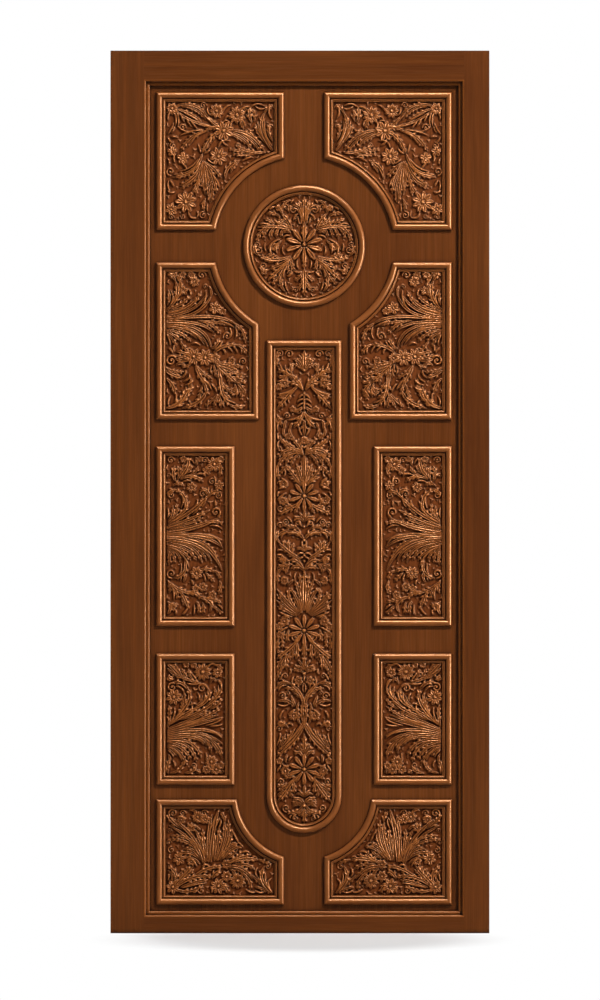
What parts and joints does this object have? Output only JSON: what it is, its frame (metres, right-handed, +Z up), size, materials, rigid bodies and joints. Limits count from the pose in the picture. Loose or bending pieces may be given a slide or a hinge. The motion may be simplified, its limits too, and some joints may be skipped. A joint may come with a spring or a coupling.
{
  "type": "carved panel door with frame",
  "caption": "Hinged wooden door leaf with raised mouldings round carved foliage panels, a round medallion and a long centre panel, in a stepped wooden frame.",
  "frame": {"origin": "on the floor plane under the middle of the frame's width and depth, on the underside of the sill and jambs", "axes": "+Z up, +X to the right seen from the front, +Y from the front towards the back, where the leaf opens"},
  "size_m": [0.916, 0.0736, 2.134],
  "materials": {
    "frame_wood": "satin lacquer",
    "field_wood": "satin lacquer",
    "carved_wood": "satin lacquer",
    "moulding_wood": "satin lacquer",
    "hinge_brass": "satin"
  },
  "bodies": {
    "frame": {"hinge_jamb": "frame_wood", "closing_jamb": "frame_wood", "frame_head": "frame_wood", "frame_sill": "frame_wood", "jamb_plate_low": "hinge_brass", "jamb_plate_mid": "hinge_brass", "jamb_plate_top": "hinge_brass", "hinge_pin_low": "hinge_brass", "hinge_pin_mid": "hinge_brass", "hinge_pin_top": "hinge_brass"},
    "leaf": {"leaf_slab": "field_wood", "leaf_plate_low": "hinge_brass", "leaf_plate_mid": "hinge_brass", "leaf_plate_top": "hinge_brass", "carving_top_left": "carved_wood", "carving_top_right": "carved_wood", "carving_upper_left": "carved_wood", "carving_upper_right": "carved_wood", "carving_middle_left": "carved_wood", "carving_middle_right": "carved_wood", "carving_lower_left": "carved_wood", "carving_lower_right": "carved_wood", "carving_bottom_left": "carved_wood", "carving_bottom_right": "carved_wood", "carving_medallion": "carved_wood", "carving_centre": "carved_wood", "moulding_top_left": "moulding_wood", "moulding_top_right": "moulding_wood", "moulding_upper_left": "moulding_wood", "moulding_upper_right": "moulding_wood", "moulding_middle_left": "moulding_wood", "moulding_middle_right": "moulding_wood", "moulding_lower_left": "moulding_wood", "moulding_lower_right": "moulding_wood", "moulding_bottom_left": "moulding_wood", "moulding_bottom_right": "moulding_wood", "moulding_medallion": "moulding_wood", "moulding_centre": "moulding_wood"}
  },
  "joints": [
    {"name": "leaf_swing", "type": "hinge", "parent": "frame", "child": "leaf", "pos_m": [-0.3755, 0.0371, 1.067], "axis": [0, 0, 1], "range_deg": [0, 110]}
  ]
}
